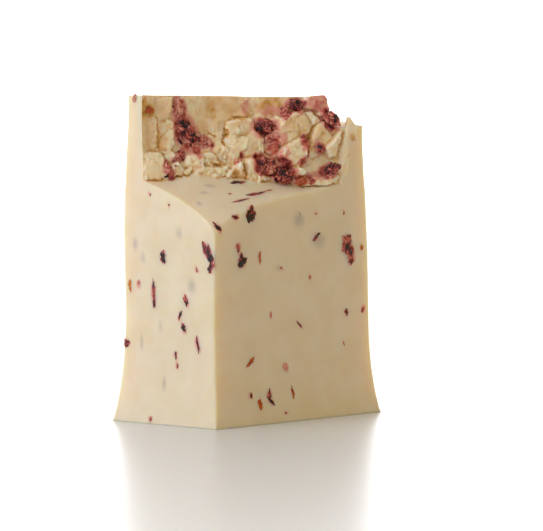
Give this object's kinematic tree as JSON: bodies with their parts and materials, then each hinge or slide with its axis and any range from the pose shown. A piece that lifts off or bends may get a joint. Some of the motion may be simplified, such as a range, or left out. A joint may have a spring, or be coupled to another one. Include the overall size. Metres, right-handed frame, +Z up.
{
  "type": "block of cheddar with dried cranberries",
  "caption": "Tall upright block of cheddar with dried cranberries; its top front corner is cut under and broken off, leaving a smooth shoulder below a crumbly face.",
  "frame": {"origin": "centre of the flat base on the surface that the block stands on", "axes": "+Z up along the block's height; +X along the wide sides; the narrow sides face -X and +X; the broken corner faces -X -Y"},
  "size_m": [0.1157, 0.0654, 0.1515],
  "materials": {
    "cheese": "pale cream cheddar, waxy and slightly translucent, smooth where cut and crumbly where broken",
    "cranberry": "wrinkled moist dried cranberry, dark purple-red",
    "amber_berry": "dried cranberry cut open, orange-brown"
  },
  "bodies": {
    "root": {"cheese": "cheese", "cranberry_left": "cranberry", "cranberry_left_tail": "cranberry", "cranberry_left_strand": "cranberry", "cranberry_left_spur": "cranberry", "cranberry_foot": "cranberry", "cranberry_middle": "cranberry", "cranberry_middle_low": "cranberry", "cranberry_cluster": "cranberry", "cranberry_cluster_low": "cranberry", "cranberry_top": "cranberry", "cranberry_top_flake": "cranberry", "cranberry_peak": "cranberry", "cranberry_right": "cranberry", "cranberry_flat": "cranberry", "cranberry_corner": "cranberry", "amber_berry_low": "amber_berry", "amber_berry_left": "amber_berry"}
  },
  "joints": []
}
